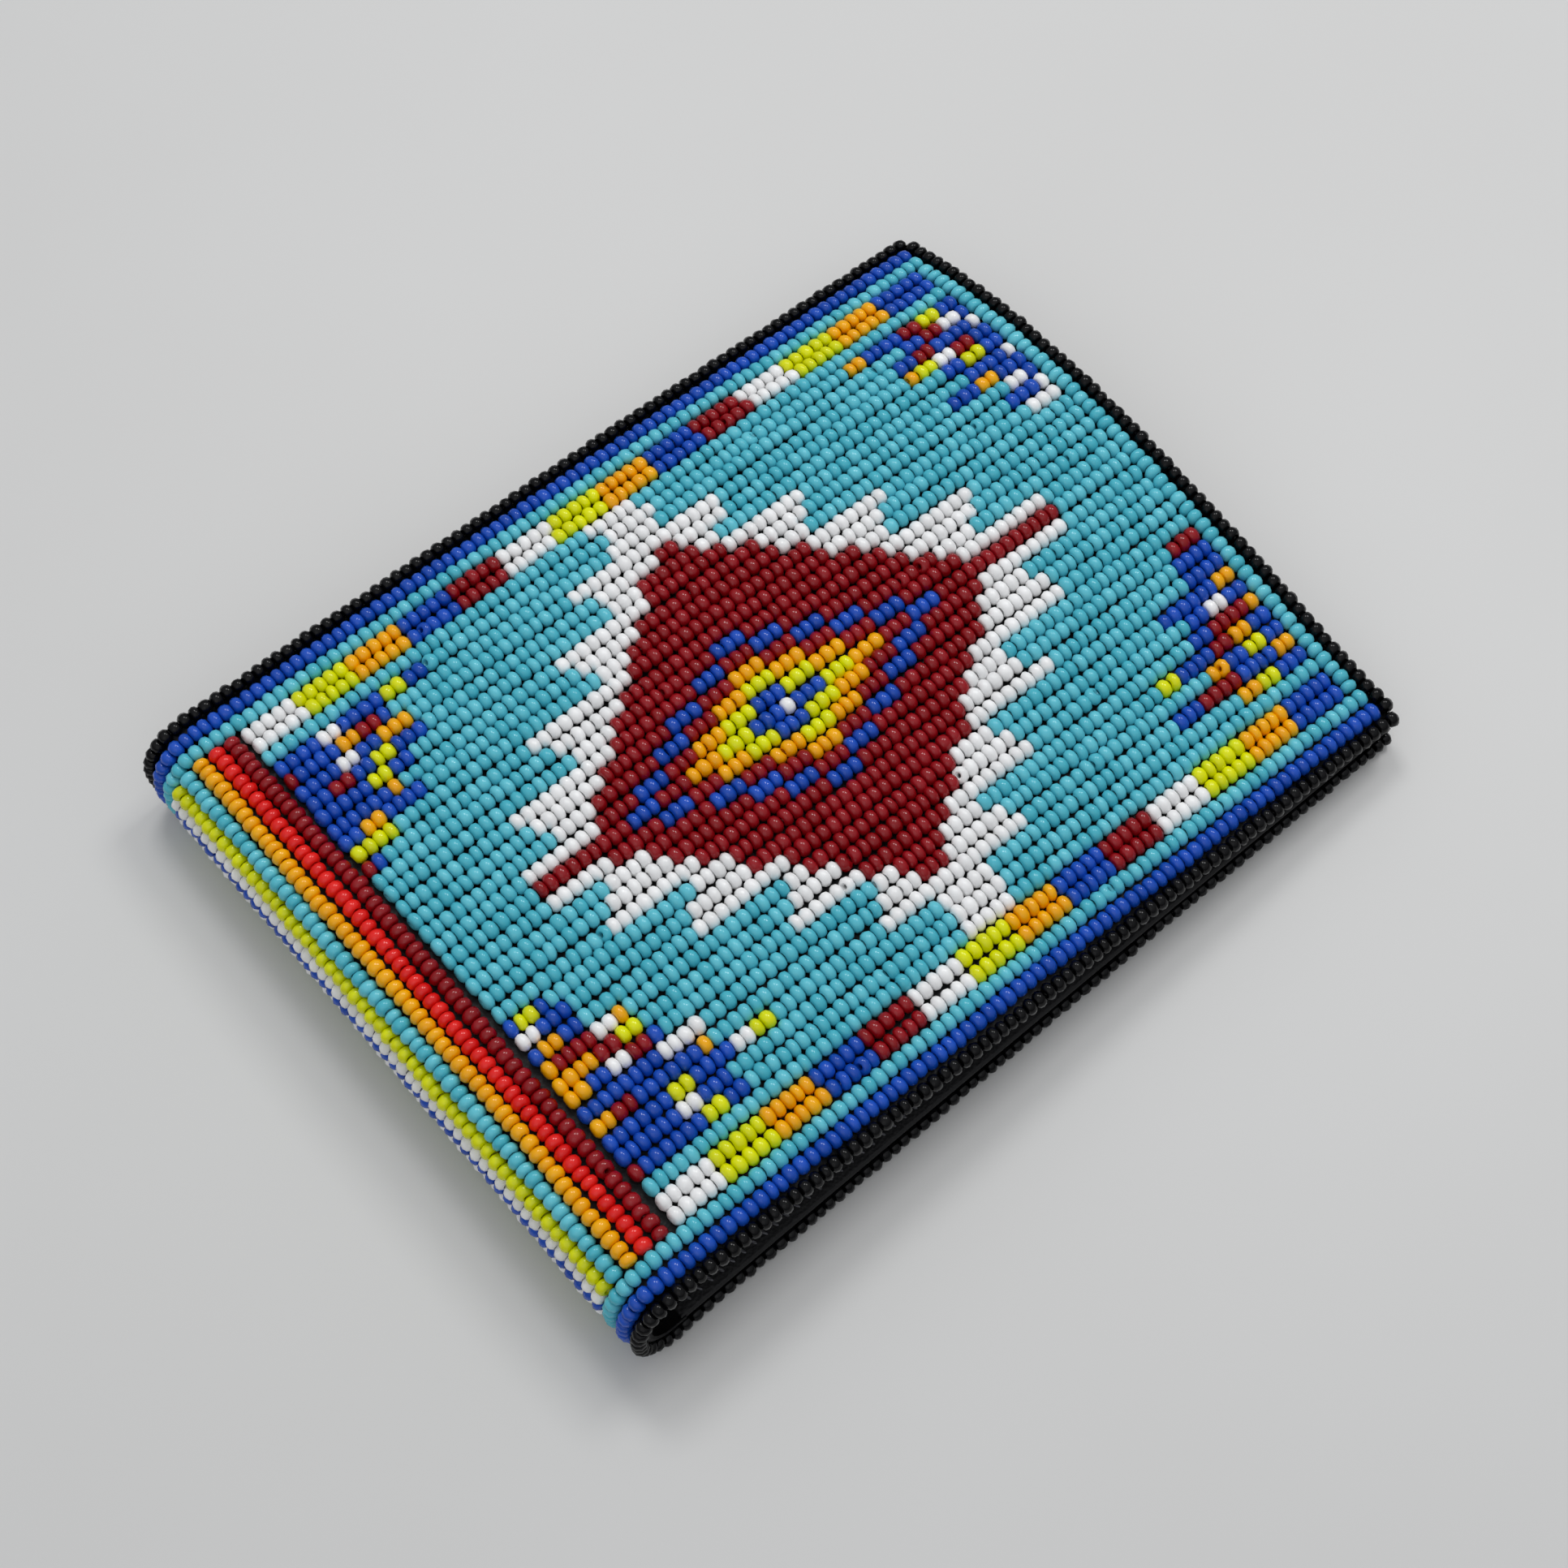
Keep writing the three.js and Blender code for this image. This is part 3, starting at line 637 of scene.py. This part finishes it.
# Front edging: small beads of black glass, sewn in one line along the raw edge of the leather.
# It closes the two long sides and the open edge, a little lower than the rows beside it.
edging_side, edging_end, edging_side_beads = 41.7, 106.6, 76
edging_open, edging_reach, edging_open_beads = 106.5, 40.8, 58
far_wider, edging_height, edging_wander = 0.1, 0.8, 0.05
bead_glass["black"] = glass("black_glass", "#030304", "#0a0a0c", 0.1, 0.0, shine=0.2)


def edging(wider, diameter):
    """Three strung rows, along both long sides and then the open edge, all moved towards the wider side."""
    fit = (edging_height, diameter, edging_wander)
    lines = [
        strand(long_start, edging_end, edging_side_beads, side * edging_side + wider, False, *fit)
        for side in (-1, 1)]
    lines.append(
        strand(-edging_reach + wider, edging_reach + wider, edging_open_beads, edging_open, True, *fit))
    return np.concatenate(lines)


front_edging = beads("front_edging_beads", on_front, edging(far_wider, 1.86), bead_glass["black"], segments=8)
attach(front_edging, "front")
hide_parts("front_edging")

# Fold beadwork: nine rows of the same glass beads, spaced evenly over the bend and sewn to its leather.
# Their thread runs a little less than half a bead out from the leather, and u is measured along that line.
# Only the blue one in the middle is carried stiffly, by the fold's middle; the others are baked in place.
thread_height = 0.95
thread_line = bend + thread_height * outward
reach = np.concatenate([[0], np.cumsum(np.hypot(*np.diff(thread_line, axis=0).T))])


def on_row(u):
    """Across the bend, for a row that lies along the fold at u: x goes straight on from that row, square to
    its way out, and t goes out from the leather."""
    centre, out = (np.array([np.interp(u, reach, a[:, i]) for i in (0, 1)]) for a in (thread_line, outward))

    def place(p):
        """The row's own place on the thread line, plus x along the bend and t out from it."""
        x, y, t = np.moveaxis(p, -1, 0)
        t = t - thread_height
        return lower_ends(centre[0] + x * out[1] + t * out[0], y, centre[1] - x * out[0] + t * out[1])
    return place


first_row_u = 2.3
low_height, low_diameter = 0.94, 1.84
for u, (node, crease, colour) in zip(np.linspace(first_row_u, reach[-1] - first_row_u, 9), [
        ("back_orange_row", "lower", "orange"),
        ("fold_lower_turquoise_row", "lower", "turquoise"),
        ("fold_lower_yellow_row", "mid_lower", "yellow"),
        ("fold_middle_lower_white_row", "mid_lower", "white"),
        ("fold_middle_blue_row", None, "blue"),
        ("fold_middle_upper_white_row", "mid_upper", "white"),
        ("fold_upper_yellow_row", "mid_upper", "yellow"),
        ("fold_upper_turquoise_row", "upper", "turquoise"),
        ("front_orange_row", "upper", "orange")]):
    fold_row = strand(-fold_reach, fold_reach, fold_beads, 0.0, True, bead_height, fold_diameter, fold_wander)
    if node == "back_orange_row":
        fold_row[:, [T, DIAMETER]] = low_height, low_diameter
    strung = beads(node + "_beads", on_row(u), fold_row, bead_glass[colour])
    if crease:
        bend_over(strung)
    else:
        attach(strung, "fold_middle")
    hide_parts(node)


# Fold ends: the frame, blue and edging rows of both halves join in one line round each end of the fold.
# Each line is 14 beads, shared out among the four creases; the lowest bead is kept small, to clear the table.
def on_bend(p):
    """Along the bend: u runs on the thread line, and t goes out from it."""
    u, y, t = np.moveaxis(p, -1, 0)
    line, out = ([np.interp(u, reach, a[:, i]) for i in (0, 1)] for a in (thread_line, outward))
    t = t - thread_height
    return lower_ends(line[0] + t * out[0], y, line[1] + t * out[1])


end_gap, end_beads, end_diameter = 1.07, 14, 1.98
end_wander, end_loose = 0.0, 0.6
rest_height = 0.93
end_shares = [slice(0, 3), slice(3, 7), slice(7, 11), slice(11, 14)]
for name, y, wider, height, diameter, colour, hidden in [
        ("frame", frame_row, 0.0, bead_height, end_diameter, "turquoise", "end_rows"),
        ("blue", blue_row, 0.0, bead_height, end_diameter, "blue", None),
        ("edging", edging_side, far_wider, edging_height, 1.84, "black", "edging")]:
    end_fit = (height, diameter, end_wander, end_loose)
    ends = [
        strand(end_gap, reach[-1] - end_gap, end_beads, side * y + wider, False, *end_fit)
        for side in (-1, 1)]
    for end in ends:
        end[0, [T, DIAMETER]] = min(height, rest_height), low_diameter
    for crease, part in zip(creases, end_shares):
        end_rows = np.concatenate([end[part] for end in ends])
        strung = beads(f"{crease}_{name}_end_beads", on_bend, end_rows, bead_glass[colour])
        bend_over(strung)
        if hidden and crease != "upper":
            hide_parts(*(f"{creases[crease][1]}_{hidden}_{end}" for end in ("far", "near")))

# Back beadwork: the side that lies on the table, with the same borders round a plain turquoise field.
# Its beads are a little smaller, and none is sewn lower than the face the wallet rests on.
# The turquoise beads are two pieces, one for each side of the middle, because there are so many.
rest_depth = 1.88
back_start, back_fold_reach, back_fold_wander = 6.09, 36.5, 0.05
back_pattern = np.where(rows_off >= border_row, blocks, TURQUOISE)
back_starts = np.full(row_count, back_start)
back_rows, back_colours = half_rows(
    back_pattern, back_starts, back_fold_reach, back_fold_wander, rest_height, low_diameter, low_diameter)
back_rows[:, T] = np.minimum(back_rows[:, T], rest_depth - back_rows[:, DIAMETER] / 2)
far_side = back_rows[:, Y] < 0
for name, colour, where, nodes_shown in [
        ("turquoise", TURQUOISE, "_far", ["back_bead_field"]),
        ("turquoise", TURQUOISE, "_near", []),
        ("blue", BLUE, "", []),
        ("white", WHITE, "", []),
        ("yellow", YELLOW, "", []),
        ("orange", ORANGE, "", []),
        ("red", RED, "", ["back_red_row"]),
        ("dark_red", DARK_RED, "", ["back_dark_red_row"])]:
    chosen = back_colours == colour
    if where:
        chosen &= far_side if where == "_far" else ~far_side
    strung = beads(f"back_{name}_beads{where}", on_back, back_rows[chosen], bead_glass[name], segments=6)
    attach(strung, "back")
    if nodes_shown:
        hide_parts(*nodes_shown)

# Back edging: the same black glass beads along the back's raw edge, sewn in the same way.
# The back lies face down, so its wider side is the other one of the sheet.
back_edging = beads("back_edging_beads", on_back, edging(-far_wider, 1.8), bead_glass["black"], segments=8)
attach(back_edging, "back")
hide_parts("back_edging")
